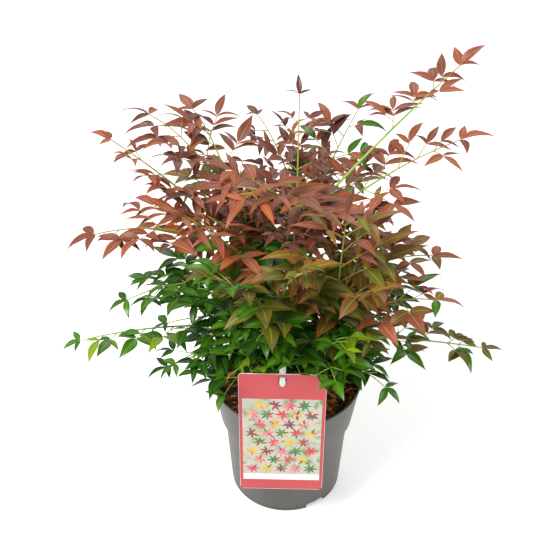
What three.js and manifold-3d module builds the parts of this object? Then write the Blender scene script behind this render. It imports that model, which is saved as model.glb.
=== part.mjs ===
// Heavenly bamboo in its plastic nursery pot.  Millimetres, +Z up.
// The origin is the centre of the pot's flat underside, and the label faces -Y.
// Several canes stand in the pot.  Each leaf stalk is a bough that leaves a cane and
// ends where its spray begins.  A spray is one compound leaf: a stem, side twigs in
// opposite pairs, and leaflets in pairs with one at the tip of each twig.
import * as THREE from 'three';
import { mergeVertices } from 'three/addons/utils/BufferGeometryUtils.js';
import Module from 'manifold-3d';

const wasm = await Module();
wasm.setup();

// ---------------------------------------------------------------- dimensions

const GAP = 0.3; // between neighbouring solids
const GUARD = 0.5; // what foliage keeps clear all round, besides its own size

const POT = {
  height: 178,
  rimRadius: 95,
  collarHeight: 61, // the wide band below the rim
  collarFootRadius: 85.5,
  bodyTopRadius: 80,
  footRadius: 72.5,
  wall: 1.6,
  lipHeight: 3,
  lipWidth: 2.4,
  lipRound: 0.6,
  collarStep: 4, // height of the shoulder under the collar
  footRound: 1,
  sides: 32,
  notches: 3, // drainage slots round the foot
  firstNotch: -56, // azimuth of one of them, in degrees
  notchWidth: 28,
  notchHeight: 8,
  notchDepth: 9,
};

const MIX = {
  top: 160, // level of the flat middle, where the canes stand
  flatRadius: 42,
  slopeRadii: [58, 76], // rings of the slope from the flat middle to the edge
  edgeDrop: 3,
  edgeGap: 0.6, // more room at the edge, under the lip's taper
  lumpRadius: 80, // lumps of bark lie between the flat middle and this radius
  lump: 2.2, // their height
};

const CARD = {
  x: -5, // its middle, and the stake's
  width: 102,
  height: 195,
  thickness: 0.8,
  corner: 5,
  bottom: 70.5,
  slotWidth: 9,
  slotHeight: 12,
  slotCorner: 1,
  slotBelowTop: 10, // from the card's top edge to the slot's middle
};

const STAKE = {
  width: 7.5,
  thickness: 1.6,
  depth: 60, // pushed into the mix
  footY: -66,
  top: 278,
  leanFoot: 6, // starts to lean this far above the mix
  leanTop: 10, // and is upright again this far below the slot
  tongue: 14, // hangs this far down in front of the card
};

const CANE = { footRadius: 4.2, tipRadius: 2.4, sides: 7, steps: 4 };
const STALK = { footRadius: 1.8, tipRadius: 1.3, sides: 4, steps: 3 };
const STEM = { footRadius: 1.2, tipRadius: 0.8, sides: 3, steps: 3 };
const TWIG = { footRadius: 0.75, tipRadius: 0.5, sides: 3, steps: 1 };

const LEAFLET = {
  widest: 0.38, // share of the length where it is widest
  width: 0.36, // share of the length
  thickness: 0.03, // share of the length
  fold: 0.05, // how far the edges rise above the midrib, share of the length
  droop: 0.16, // how far the tip hangs, share of the length
  seat: 0.1, // its root lies this far above the middle of its twig
};

// Each cane: where its foot stands, and where its tip is.
const CANES = {
  middle: { foot: [2, 8], tip: [8, 30, 392] },
  right: { foot: [20, 4], tip: [66, 22, 332] },
  back: { foot: [6, 28], tip: [18, 92, 340] },
  left: { foot: [-22, 8], tip: [-54, 34, 384] },
  front: { foot: [-4, -20], tip: [-14, -62, 334] },
  side: { foot: [20, -20], tip: [54, -52, 326] },
};

// Each spray: its cane, how far up the cane it leaves (1 is the cane's own tip), the
// azimuth, reach and height of its tip, how far the arc from cane to tip bows upward,
// and how much of that arc is bare stalk.  With none, its stem stands on the cane.
const SPRAYS = {
  crown_right_long: { cane: 'middle', at: 0.95, azimuth: 26, reach: 232, height: 578, bow: 16, bare: 0.5 },
  crown_right_low: { cane: 'middle', at: 0.88, azimuth: 10, reach: 216, height: 508, bow: 38, bare: 0.2 },
  crown_back_right: { cane: 'middle', at: 0.84, azimuth: 60, reach: 186, height: 492, bow: 30, bare: 0.3 },
  crown_back: { cane: 'middle', at: 1, azimuth: 86, reach: 136, height: 528, bow: 14, bare: 0 },
  crown_back_left: { cane: 'back', at: 1, azimuth: 106, reach: 196, height: 456, bow: 60, bare: 0 },
  crown_left_high: { cane: 'left', at: 0.91, azimuth: 133, reach: 190, height: 488, bow: 70, bare: 0.3 },
  crown_left: { cane: 'left', at: 1, azimuth: 151, reach: 212, height: 496, bow: 62, bare: 0 },
  crown_left_long: { cane: 'left', at: 0.84, azimuth: 170, reach: 226, height: 506, bow: 22, bare: 0.4 },
  crown_front_left: { cane: 'left', at: 0.72, azimuth: 206, reach: 152, height: 462, bow: 40, bare: 0 },
  crown_front: { cane: 'middle', at: 0.98, azimuth: 236, reach: 114, height: 464, bow: 96, bare: 0 },
  crown_front_right: { cane: 'side', at: 1, azimuth: 306, reach: 104, height: 504, bow: 30, bare: 0 },
  middle_right_high: { cane: 'right', at: 1, azimuth: 4, reach: 105, height: 440, bow: 20, bare: 0 },
  middle_right: { cane: 'right', at: 0.85, azimuth: 356, reach: 194, height: 370, bow: 44, bare: 0 },
  middle_front_right: { cane: 'side', at: 0.7, azimuth: 336, reach: 206, height: 358, bow: 60, bare: 0 },
  middle_front_bright: { cane: 'side', at: 0.84, azimuth: 308, reach: 162, height: 402, bow: 46, bare: 0 },
  middle_front: { cane: 'front', at: 0.92, azimuth: 277, reach: 142, height: 444, bow: 44, bare: 0 },
  middle_front_left: { cane: 'front', at: 0.82, azimuth: 228, reach: 156, height: 416, bow: 46, bare: 0 },
  middle_left: { cane: 'left', at: 0.8, azimuth: 184, reach: 250, height: 388, bow: 62, bare: 0.3 },
  middle_back_left: { cane: 'back', at: 0.8, azimuth: 145, reach: 184, height: 410, bow: 48, bare: 0.3 },
  middle_back_right: { cane: 'middle', at: 0.62, azimuth: 66, reach: 226, height: 380, bow: 48, bare: 0.34 },
  middle_back: { cane: 'back', at: 0.68, azimuth: 104, reach: 236, height: 352, bow: 50, bare: 0.28 },
  low_right: { cane: 'right', at: 0.44, azimuth: 357, reach: 266, height: 234, bow: 14, bare: 0.36 },
  low_front_right: { cane: 'side', at: 0.42, azimuth: 324, reach: 168, height: 220, bow: 50, bare: 0 },
  low_front_bright: { cane: 'side', at: 0.56, azimuth: 296, reach: 160, height: 326, bow: 50, bare: 0 },
  low_front: { cane: 'front', at: 0.46, azimuth: 280, reach: 132, height: 266, bow: 44, bare: 0 },
  low_front_dark: { cane: 'front', at: 0.62, azimuth: 256, reach: 158, height: 346, bow: 50, bare: 0 },
  low_front_left: { cane: 'front', at: 0.36, azimuth: 236, reach: 150, height: 258, bow: 50, bare: 0 },
  low_left_near: { cane: 'left', at: 0.27, azimuth: 212, reach: 176, height: 254, bow: 44, bare: 0.24 },
  low_left_high: { cane: 'left', at: 0.58, azimuth: 196, reach: 216, height: 322, bow: 60, bare: 0.24 },
  low_left: { cane: 'left', at: 0.36, azimuth: 187, reach: 280, height: 246, bow: 34, bare: 0.38 },
  low_back_left: { cane: 'back', at: 0.46, azimuth: 152, reach: 240, height: 230, bow: 64, bare: 0.36 },
  low_back: { cane: 'back', at: 0.34, azimuth: 96, reach: 236, height: 222, bow: 64, bare: 0.36 },
  low_back_right: { cane: 'right', at: 0.3, azimuth: 44, reach: 236, height: 222, bow: 66, bare: 0.36 },
};

// How widely the side twigs of some sprays spread, as a share of the others' spread.
const SPREAD = {
  crown_right_long: 0.6,
  crown_right_low: 0.85,
  crown_left_long: 0.75,
  crown_back: 0.7,
  low_left: 0.6,
  low_right: 0.7,
};

// Side twigs of a spray, from its foot to its tip: where each pair leaves the stem,
// the pair's length as a share of the stem's.
const TWIG_PAIRS = [
  { at: 0.1, length: 0.46 },
  { at: 0.42, length: 0.34 },
  { at: 0.74, length: 0.22 },
];

const TIERS = {
  crown: { colour: 0x8a4238, leaflet: 50 },
  middle: { colour: 0x7d6434, leaflet: 50 },
  low: { colour: 0x3d7a33, leaflet: 46 },
};

const UP = new THREE.Vector3(0, 0, 1);

// ------------------------------------------------------------------ materials

const matt = (color, roughness) => new THREE.MeshStandardMaterial({ color, roughness, metalness: 0 });
const potPlastic = () => matt(0x66665f, 0.45);
const barkMix = () => matt(0x5a3216, 0.95);
const printedCard = () => matt(0xe06a62, 0.35);
const whitePlastic = () => matt(0xf0efec, 0.4);
const caneBark = () => matt(0x6f6a3a, 0.7);
const stalkSkin = () => matt(0x86a63a, 0.5);

// ------------------------------------------------------------- solid geometry

function toSolid(geometry) {
  geometry.deleteAttribute('normal');
  geometry.deleteAttribute('uv');
  const merged = mergeVertices(geometry, 1e-4);
  const index = merged.index.array;
  const triangles = [];
  for (let i = 0; i < index.length; i += 3) {
    const corners = [index[i], index[i + 1], index[i + 2]];
    if (new Set(corners).size === 3) triangles.push(...corners);
  }
  const vertProperties = merged.attributes.position.array;
  const triVerts = new Uint32Array(triangles);
  return new wasm.Manifold(new wasm.Mesh({ numProp: 3, vertProperties, triVerts }));
}

function toMesh(name, solid, material) {
  const { vertProperties, triVerts } = solid.getMesh();
  const geometry = new THREE.BufferGeometry();
  geometry.setAttribute('position', new THREE.BufferAttribute(vertProperties, 3));
  geometry.setIndex(new THREE.BufferAttribute(triVerts, 1));
  geometry.computeVertexNormals();
  const mesh = new THREE.Mesh(geometry, material);
  mesh.name = name;
  return mesh;
}

// Where something stands on a curve or a twig: its root, the way it runs, the level
// direction across it, and its upper side.
function frameOf(root, along) {
  const across = new THREE.Vector3().crossVectors(along, UP).normalize();
  const up = new THREE.Vector3().crossVectors(across, along).normalize();
  return { root, along, across, up };
}

// A limb along a curve, tapering evenly from its foot to its tip.  A three-sided one
// has its flat side up.  Anything extra makes it stouter and carries its tip further.
function limb(curve, { footRadius, tipRadius, sides, steps }, extra = 0) {
  const geometry = new THREE.CylinderGeometry(tipRadius + extra, footRadius + extra, 1, sides, steps);
  const { position } = geometry.attributes;
  for (let i = 0; i < position.count; i += 1) {
    const share = Math.round((position.getY(i) + 0.5) * steps) / steps;
    const { root, along, across, up } = frameOf(curve.getPoint(share), curve.getTangent(share));
    root.addScaledVector(across, -position.getX(i)).addScaledVector(up, -position.getZ(i));
    if (share === 1) root.addScaledVector(along, extra);
    position.setXYZ(i, root.x, root.y, root.z);
  }
  return toSolid(geometry);
}

// A leaflet of eight faces: root, tip, two edges, and a top and an underside.
function leaflet({ root, along, across, up }, length, extra = 0) {
  const geometry = new THREE.OctahedronGeometry(1);
  const { position } = geometry.attributes;
  const halfWidth = (LEAFLET.width * length) / 2 + extra;
  const halfThickness = (LEAFLET.thickness * length) / 2 + extra;
  const ends = { '-1': 0, 0: LEAFLET.widest * length, 1: length + extra };
  for (let i = 0; i < position.count; i += 1) {
    const end = Math.round(position.getX(i));
    const edge = Math.round(position.getY(i));
    const face = Math.round(position.getZ(i));
    const lift = Math.abs(edge) * LEAFLET.fold * length - (end === 1 ? LEAFLET.droop * length : 0);
    position.setXYZ(i, ends[end], edge * halfWidth, face * halfThickness + lift);
  }
  const place = new THREE.Matrix4().makeBasis(along, across.clone().negate(), up);
  place.setPosition(root.clone().addScaledVector(up, LEAFLET.seat));
  return toSolid(geometry.applyMatrix4(place));
}

// Fuse pieces into one closed body: loose scraps and sealed hollows are dropped.
function fuse(pieces) {
  const whole = wasm.Manifold.union(pieces).simplify(0.01);
  const bodies = whole.decompose();
  return bodies.reduce((best, body) => (body.volume() > best.volume() ? body : best));
}

// A repeatable stream of numbers from 0 to 1.
function randomStream(seed) {
  let state = seed >>> 0;
  return () => {
    state = (state + 0x6d2b79f5) >>> 0;
    let t = Math.imul(state ^ (state >>> 15), state | 1);
    t ^= t + Math.imul(t ^ (t >>> 7), t | 61);
    return ((t ^ (t >>> 14)) >>> 0) / 4294967296;
  };
}

// ------------------------------------------------------------------------ pot

function potWallRadius(z) {
  const collarFoot = POT.height - POT.collarHeight;
  if (z >= collarFoot) {
    const share = (z - collarFoot) / (POT.collarHeight - POT.lipHeight);
    return THREE.MathUtils.lerp(POT.collarFootRadius, POT.rimRadius - POT.lipWidth + POT.wall, share);
  }
  return THREE.MathUtils.lerp(POT.footRadius, POT.bodyTopRadius, z / collarFoot);
}

function turned(profile, sides) {
  const points = profile.map(([radius, z]) => new THREE.Vector2(radius, z));
  return new THREE.LatheGeometry(points, sides).rotateX(Math.PI / 2);
}

function potSolid() {
  const collarFoot = POT.height - POT.collarHeight;
  const lipFoot = POT.height - POT.lipHeight;
  const shoulder = collarFoot - POT.collarStep;
  const profile = [
    [0, 0],
    [POT.footRadius - POT.footRound, 0],
    [POT.footRadius, POT.footRound],
    [POT.bodyTopRadius, shoulder],
    [POT.collarFootRadius, collarFoot],
    [potWallRadius(lipFoot), lipFoot],
    [POT.rimRadius, lipFoot],
    [POT.rimRadius, POT.height - POT.lipRound],
    [POT.rimRadius - POT.lipRound, POT.height],
    [POT.rimRadius - POT.lipWidth, POT.height],
    [potWallRadius(collarFoot) - POT.wall, collarFoot],
    [POT.bodyTopRadius - POT.wall, shoulder],
    [POT.footRadius - POT.wall, POT.wall + POT.footRound],
    [POT.footRadius - POT.wall - POT.footRound, POT.wall],
    [0, POT.wall],
  ];
  let pot = toSolid(turned(profile, POT.sides));
  for (let i = 0; i < POT.notches; i += 1) {
    const azimuth = THREE.MathUtils.degToRad(POT.firstNotch) + (i * 2 * Math.PI) / POT.notches;
    const notch = new THREE.BoxGeometry(POT.notchDepth * 2, POT.notchWidth, POT.notchHeight * 2);
    notch.translate(POT.footRadius, 0, 0).rotateZ(azimuth);
    pot = pot.subtract(toSolid(notch));
  }
  return pot;
}

// ----------------------------------------------------------------- potting mix

function mixSolid() {
  const collarFoot = POT.height - POT.collarHeight;
  const inside = POT.wall + GAP;
  const floor = POT.wall + GAP;
  const edge = MIX.top - MIX.edgeDrop;
  const footRound = POT.footRound + 1;
  const [upperSlope, lowerSlope] = MIX.slopeRadii;
  const profile = [
    [0, floor],
    [POT.footRadius - inside - footRound, floor],
    [POT.footRadius - inside, floor + footRound],
    [POT.bodyTopRadius - inside, collarFoot - POT.collarStep - MIX.edgeGap],
    [potWallRadius(edge) - inside - MIX.edgeGap, edge],
    [lowerSlope, edge + MIX.edgeDrop / 3],
    [upperSlope, edge + (2 * MIX.edgeDrop) / 3],
    [MIX.flatRadius, MIX.top],
    [0, MIX.top],
  ];
  const geometry = turned(profile, POT.sides);
  const { position } = geometry.attributes;
  for (let i = 0; i < position.count; i += 1) {
    const [x, y, z] = [position.getX(i), position.getY(i), position.getZ(i)];
    const radius = Math.hypot(x, y);
    if (z >= edge && radius > MIX.flatRadius + 1 && radius < MIX.lumpRadius) {
      const lump = Math.sin(x * 0.31 + 1) * Math.cos(y * 0.27) + 0.5 * Math.sin(x * 0.13 - y * 0.41);
      position.setZ(i, z + MIX.lump * lump);
    }
  }
  return toSolid(geometry).subtract(stakePocket());
}

// ----------------------------------------------------------------------- label

// A rectangle with round corners, its middle at a height.
function roundedRectangle(width, height, corner, middle) {
  const x = width / 2 - corner;
  const y = height / 2 - corner;
  const quarter = Math.PI / 2;
  const shape = new THREE.Shape();
  shape.absarc(x, middle - y, corner, -quarter, 0, false);
  shape.absarc(x, middle + y, corner, 0, quarter, false);
  shape.absarc(-x, middle + y, corner, quarter, 2 * quarter, false);
  shape.absarc(-x, middle - y, corner, 2 * quarter, 3 * quarter, false);
  return shape;
}

const CARD_BACK = -(POT.rimRadius + GAP); // the card leans flat against the rim
const SLOT_Z = CARD.bottom + CARD.height - CARD.slotBelowTop;

function cardSolid() {
  const shape = roundedRectangle(CARD.width, CARD.height, CARD.corner, CARD.bottom + CARD.height / 2);
  shape.holes.push(roundedRectangle(CARD.slotWidth, CARD.slotHeight, CARD.slotCorner, SLOT_Z));
  const card = new THREE.ExtrudeGeometry(shape, {
    depth: CARD.thickness,
    bevelEnabled: false,
    curveSegments: 4,
  });
  card.rotateX(Math.PI / 2).translate(CARD.x, CARD_BACK, 0);
  return toSolid(card);
}

// The stake's side outline: up out of the mix, up behind the card, and forward
// through the slot, whose upper edge hangs on it, to a tongue in front of the card.
function stakeOutline() {
  const { footY, thickness, top } = STAKE;
  const foot = MIX.top - STAKE.depth;
  const back = CARD_BACK + GAP;
  const front = CARD_BACK - CARD.thickness - GAP;
  const barTop = SLOT_Z + CARD.slotHeight / 2 - GAP;
  const barFoot = barTop - thickness;
  const leanFoot = MIX.top + STAKE.leanFoot;
  const leanTop = barFoot - STAKE.leanTop;
  return [
    [footY, foot],
    [footY - thickness, foot],
    [footY - thickness, leanFoot],
    [back, leanTop],
    [back, barFoot],
    [front, barFoot],
    [front, barTop - STAKE.tongue],
    [front - thickness, barTop - STAKE.tongue],
    [front - thickness, barTop],
    [back, barTop],
    [back, top],
    [back + thickness, top],
    [back + thickness, leanTop],
    [footY, leanFoot],
  ];
}

function stakeSolid() {
  const shape = new THREE.Shape(stakeOutline().map(([y, z]) => new THREE.Vector2(y, z)));
  const stake = new THREE.ExtrudeGeometry(shape, { depth: STAKE.width, bevelEnabled: false });
  const sideways = new THREE.Matrix4().makeBasis(
    new THREE.Vector3(0, 1, 0),
    new THREE.Vector3(0, 0, 1),
    new THREE.Vector3(1, 0, 0),
  );
  stake.applyMatrix4(sideways).translate(CARD.x - STAKE.width / 2, 0, 0);
  return toSolid(stake);
}

function stakePocket() {
  const width = STAKE.width + 2 * GAP;
  const thickness = STAKE.thickness + 2 * GAP;
  const depth = STAKE.depth + GAP;
  const pocket = new THREE.BoxGeometry(width, thickness, depth * 2);
  pocket.translate(CARD.x, STAKE.footY - STAKE.thickness / 2, MIX.top);
  return toSolid(pocket);
}

// ------------------------------------------------------------- canes and arcs

function caneCurve({ foot, tip }) {
  const start = new THREE.Vector3(foot[0], foot[1], MIX.top - CANE.footRadius);
  const end = new THREE.Vector3(...tip);
  const bend = start.clone().lerp(end, 0.5);
  bend.x = foot[0] + (tip[0] - foot[0]) * 0.3;
  bend.y = foot[1] + (tip[1] - foot[1]) * 0.3;
  return new THREE.QuadraticBezierCurve3(start, bend, end);
}

// A cane ends in a flat cut at the level of the mix.
function caneSolid(cane) {
  const below = new THREE.BoxGeometry(2 * POT.rimRadius, 2 * POT.rimRadius, MIX.top);
  below.translate(0, 0, MIX.top / 2 + GAP);
  return limb(caneCurve(cane), CANE).subtract(toSolid(below));
}

// From a cane to the tip of a spray, bowed upward.
function sprayArc({ cane, at, azimuth, reach, height, bow }) {
  const start = caneCurve(CANES[cane]).getPoint(at);
  const angle = THREE.MathUtils.degToRad(azimuth);
  const end = new THREE.Vector3(reach * Math.cos(angle), reach * Math.sin(angle), height);
  const bend = start.clone().lerp(end, 0.5).addScaledVector(UP, bow);
  return new THREE.QuadraticBezierCurve3(start, bend, end);
}

// A stretch of an arc as straight runs, one for each step of the limb that follows it,
// so that whatever grows from the limb starts inside it.
function stretch(arc, from, to, { steps }) {
  const path = new THREE.CurvePath();
  const place = (step) => arc.getPoint(from + ((to - from) * step) / steps);
  for (let step = 0; step < steps; step += 1) {
    path.add(new THREE.LineCurve3(place(step), place(step + 1)));
  }
  return path;
}

// ---------------------------------------------------------------- room to grow

// Everything built so far, with its box and the node that owns it.
const taken = [];

function boxOf(solid) {
  const { min, max } = solid.boundingBox();
  return new THREE.Box3(new THREE.Vector3(...min), new THREE.Vector3(...max));
}

function take(owner, solid, root = null) {
  taken.push({ owner, solid, root, box: boxOf(solid) });
}

// Foliage may meet only its own spray's stem and twigs, and leaflets at its own root.
function isClear(owner, guard, root = null) {
  const box = boxOf(guard);
  const mayMeet = (other) => other.owner === owner && (other.root === null || other.root === root);
  return !taken.some(
    (other) => !mayMeet(other) && other.box.intersectsBox(box) && !guard.intersect(other.solid).isEmpty(),
  );
}

// --------------------------------------------------------------------- sprays

function turnedToward(along, across, degrees) {
  const angle = THREE.MathUtils.degToRad(degrees);
  return along.clone().multiplyScalar(Math.cos(angle)).addScaledVector(across, Math.sin(angle)).normalize();
}

function addLeaflet(spray, root, along, length) {
  const frame = frameOf(root, along);
  if (!isClear(spray.name, leaflet(frame, length, GUARD), root)) return;
  const solid = leaflet(frame, length);
  spray.pieces.push(solid);
  take(spray.name, solid, root);
}

// Two opposite leaflets at one place of a stem or twig.
function addLeafletPair(spray, frame, length, random) {
  for (const side of [-1, 1]) {
    const across = frame.across.clone().multiplyScalar(side);
    const along = turnedToward(frame.along, across, 46 + 14 * random());
    addLeaflet(spray, frame.root, along, length * (0.8 + 0.2 * random()));
  }
}

// One twig of a pair, with a leaflet at its tip and a pair of leaflets below it.
function addTwig(spray, pair, side, random) {
  const at = pair.at + 0.03 * random();
  const { root, along, across } = frameOf(spray.curve.getPoint(at), spray.curve.getTangent(at));
  const way = turnedToward(along, across.multiplyScalar(side), 48 + 14 * random());
  way.addScaledVector(UP, 0.3 * random() - 0.15).normalize();
  const length = pair.length * spray.length * spray.spread * (0.85 + 0.3 * random());
  const end = root.clone().addScaledVector(way, length);
  const curve = new THREE.LineCurve3(root, end);
  if (!isClear(spray.name, limb(curve, TWIG, GUARD))) return;
  const twig = limb(curve, TWIG);
  spray.pieces.push(twig);
  take(spray.name, twig);
  const inTip = root.clone().lerp(end, 0.99);
  addLeaflet(spray, inTip, way, spray.tier.leaflet);
  addLeafletPair(spray, frameOf(root.clone().lerp(end, 0.6), way), spray.tier.leaflet, random);
}

// Where a limb leaves its cane, its foot is cut to the cane's round.
function cutToCane(solid, { cane }) {
  return fuse([solid.subtract(limb(caneCurve(CANES[cane]), CANE, GAP))]);
}

function startSpray(name, plan, index) {
  const arc = sprayArc(plan);
  const tier = TIERS[name.split('_')[0]];
  const stalkEnd = plan.bare > 0 ? plan.bare + GAP / arc.getLength() : 0;
  const stemEnd = 1 - tier.leaflet / arc.getLength();
  const curve = stretch(arc, stalkEnd, stemEnd, STEM);
  const spray = { name: `spray_${name}`, tier, curve, spread: SPREAD[name] ?? 1, seed: 100 * (index + 1) };
  spray.length = curve.getLength();
  spray.stem = limb(curve, STEM);
  if (plan.bare > 0) {
    spray.stalkName = `stalk_${name}`;
    spray.stalk = cutToCane(limb(stretch(arc, 0, plan.bare, STALK), STALK), plan);
  } else {
    spray.stem = cutToCane(spray.stem, plan);
  }
  spray.pieces = [spray.stem];
  return spray;
}

// ------------------------------------------------------------------- assembly

const plant = new THREE.Group();

function add(name, solid, material) {
  plant.add(toMesh(name, solid, material));
  take(name, solid);
}

add('pot', potSolid(), potPlastic());
add('potting_mix', mixSolid(), barkMix());
add('label_card', cardSolid(), printedCard());
add('label_stake', stakeSolid(), whitePlastic());

for (const [name, cane] of Object.entries(CANES)) {
  add(`cane_${name}`, caneSolid(cane), caneBark());
}

const sprays = Object.entries(SPRAYS).map(([name, plan], index) => startSpray(name, plan, index));
for (const { stalkName, stalk } of sprays.filter((spray) => spray.stalk)) {
  if (!isClear(stalkName, stalk)) throw new Error(`${stalkName} meets another limb`);
  add(stalkName, stalk, stalkSkin());
}
for (const { name, stem } of sprays) {
  if (!isClear(name, stem)) throw new Error(`${name} meets another limb`);
  take(name, stem);
}
for (const spray of sprays) {
  addLeaflet(spray, spray.curve.getPoint(0.995), spray.curve.getTangent(1), spray.tier.leaflet);
}
for (const [row, pair] of TWIG_PAIRS.entries()) {
  for (const spray of sprays) {
    for (const side of [-1, 1]) addTwig(spray, pair, side, randomStream(spray.seed + 10 * row + side));
  }
}
for (const spray of sprays) {
  plant.add(toMesh(spray.name, fuse(spray.pieces), matt(spray.tier.colour, 0.5)));
}

export default plant;
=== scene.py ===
# %% [markdown]
# # A potted heavenly bamboo
# A young shrub of upright canes stands in a round nursery pot. Its leaves are compound: one leaf
# is a whole spray of many small leaflets, red at the top, bronze in the middle and green below.
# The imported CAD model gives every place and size. This lesson dresses it: the pot, the bark mix
# and the label are modelled with Blender's tools, and the foliage is grown by a seeded rule.

# %% Load the frame
import bpy
import bmesh
import math
import numpy as np
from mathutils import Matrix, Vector
from mathutils.bvhtree import BVHTree


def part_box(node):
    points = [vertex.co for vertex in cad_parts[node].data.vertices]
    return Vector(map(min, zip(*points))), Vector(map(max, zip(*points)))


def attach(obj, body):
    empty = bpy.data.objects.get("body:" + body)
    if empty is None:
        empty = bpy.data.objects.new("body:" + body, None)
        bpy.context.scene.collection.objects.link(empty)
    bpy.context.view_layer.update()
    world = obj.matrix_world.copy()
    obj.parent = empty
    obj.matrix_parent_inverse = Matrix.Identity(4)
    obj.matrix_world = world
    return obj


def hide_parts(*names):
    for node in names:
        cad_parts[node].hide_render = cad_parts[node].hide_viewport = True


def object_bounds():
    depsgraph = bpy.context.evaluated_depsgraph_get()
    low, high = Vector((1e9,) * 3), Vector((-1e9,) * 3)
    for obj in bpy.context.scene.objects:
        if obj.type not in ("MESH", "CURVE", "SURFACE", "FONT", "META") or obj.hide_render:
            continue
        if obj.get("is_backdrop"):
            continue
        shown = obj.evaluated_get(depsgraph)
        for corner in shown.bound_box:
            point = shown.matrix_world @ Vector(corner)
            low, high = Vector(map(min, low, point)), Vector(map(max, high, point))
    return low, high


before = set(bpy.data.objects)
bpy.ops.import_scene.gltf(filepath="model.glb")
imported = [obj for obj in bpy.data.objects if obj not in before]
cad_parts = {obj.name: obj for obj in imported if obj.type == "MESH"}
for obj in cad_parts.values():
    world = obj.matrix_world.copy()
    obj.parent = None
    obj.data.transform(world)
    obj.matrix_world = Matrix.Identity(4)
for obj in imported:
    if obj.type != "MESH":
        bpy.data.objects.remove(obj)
cad_low, cad_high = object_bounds()
MM = 0.001
FULL_TURN = 2 * math.pi
print("solids:", len(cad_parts), "box:", tuple(cad_low), tuple(cad_high))

# %% [markdown]
# ## Camera, floor and light
# The viewer stands in front of the label and looks down at the plant by about 37 degrees. Studio
# light for a plant is large and soft, so that glossy leaflets get broad pale sheens and no hard
# spots: one big lamp above the left shoulder, a weaker one on the right, one behind, and a pale
# room. The floor glows a little, so that it comes out as white as the room behind it.

# %% Camera
bpy.ops.object.camera_add(
    location=(0.0, -0.9323, 1.0388),
    rotation=(math.radians(53.42), 0.0, math.radians(1.597)),
)
camera = bpy.context.object
camera.name = "viewing_camera"
camera.data.lens = 67.1
bpy.context.scene.camera = camera
print("camera lens:", camera.data.lens)


# %% Colours and finishes
def paint(code):
    """A linear colour from six hex digits of the usual display notation."""
    channels = [int(code[i:i + 2], 16) / 255 for i in (0, 2, 4)]
    linear = [c / 12.92 if c <= 0.04045 else ((c + 0.055) / 1.055) ** 2.4 for c in channels]
    return (*linear, 1.0)


def new_finish(name, roughness):
    """A new finish and its shader."""
    finish = bpy.data.materials.new(name)
    finish.use_nodes = True
    shader = finish.node_tree.nodes["Principled BSDF"]
    shader.inputs["Roughness"].default_value = roughness
    return finish, shader


# %% Floor and room light
WHITE = paint("ffffff")
bpy.context.scene.view_settings.view_transform = "Standard"
room = bpy.data.worlds.new("pale_room")
room.use_nodes = True
room_light = room.node_tree.nodes["Background"]
room_light.inputs["Color"].default_value = WHITE
room_light.inputs["Strength"].default_value = 0.43
bpy.context.scene.world = room

bpy.ops.mesh.primitive_plane_add(size=8.0, location=(0.0, 0.0, 0.0))
floor = bpy.context.object
floor.name = "floor"
floor_finish, floor_shader = new_finish("floor_finish", 0.9)
floor_shader.inputs["Base Color"].default_value = paint("f6f6f4")
floor_shader.inputs["Emission Color"].default_value = WHITE
floor_shader.inputs["Emission Strength"].default_value = 0.3
floor.data.materials.append(floor_finish)
floor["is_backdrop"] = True


# %% Soft lamps
PLANT_MIDDLE = Vector((0.0, 0.0, 0.3))


def soft_lamp(name, place, size, watts):
    """A square lamp that faces the middle of the plant."""
    aim = PLANT_MIDDLE - Vector(place)
    turn = aim.to_track_quat("-Z", "Y").to_euler()
    bpy.ops.object.light_add(type="AREA", location=place, rotation=turn)
    lamp = bpy.context.object
    lamp.name = name
    lamp.data.size = size
    lamp.data.energy = watts


soft_lamp("lamp_left", (-1.2, -0.9, 2.0), 1.1, 62.0)
soft_lamp("lamp_right", (1.7, -0.7, 1.2), 1.2, 18.0)
soft_lamp("lamp_back", (0.2, 1.6, 1.8), 1.4, 14.0)

# %% [markdown]
# ## Helpers for modelling by hand
# Blender's operators work on whatever is selected, so each step starts by clearing the selection
# and then picks faces or edges by where they are. A finished piece keeps its place in its own
# mesh, rides on the body of the CAD model and hides the solids it stands for.


# %% Selecting
def clear_selection():
    if bpy.context.object and bpy.context.object.mode != "OBJECT":
        bpy.ops.object.mode_set(mode="OBJECT")
    bpy.ops.object.select_all(action="DESELECT")


def make_active(piece):
    clear_selection()
    piece.select_set(True)
    bpy.context.view_layer.objects.active = piece


def edit(piece):
    make_active(piece)
    bpy.ops.object.mode_set(mode="EDIT")


def pick(piece, kind, wanted):
    """In edit mode, selects the faces or edges that wanted(element) accepts."""
    bpy.ops.mesh.select_mode(type=kind)
    bpy.ops.mesh.select_all(action="DESELECT")
    mesh = bmesh.from_edit_mesh(piece.data)
    for element in mesh.faces if kind == "FACE" else mesh.edges:
        element.select_set(bool(wanted(element)))
    bmesh.update_edit_mesh(piece.data)


def runs_along(axis, least):
    """Accepts the edges that run at least so far along one axis."""
    return lambda edge: abs(edge.verts[0].co[axis] - edge.verts[1].co[axis]) > least


# %% Finishing a piece
def turn_outward(piece):
    """Makes all faces look outward, and ends in object mode."""
    edit(piece)
    bpy.ops.mesh.select_all(action="SELECT")
    bpy.ops.mesh.normals_make_consistent(inside=False)
    bpy.ops.object.mode_set(mode="OBJECT")


def smooth_sides(piece, degrees):
    make_active(piece)
    bpy.ops.object.shade_smooth_by_angle(angle=math.radians(degrees))


def hand_over(piece, name, slot_name, *nodes):
    """Names a piece, fixes its place in its mesh and gives it to the CAD body."""
    make_active(piece)
    bpy.ops.object.transform_apply(location=True, rotation=True, scale=True)
    piece.name = name
    piece.data.name = name
    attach(piece, "root")
    if nodes:
        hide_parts(*nodes)
    piece.data.calc_loop_triangles()
    print(name, "triangles:", len(piece.data.loop_triangles))


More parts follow.
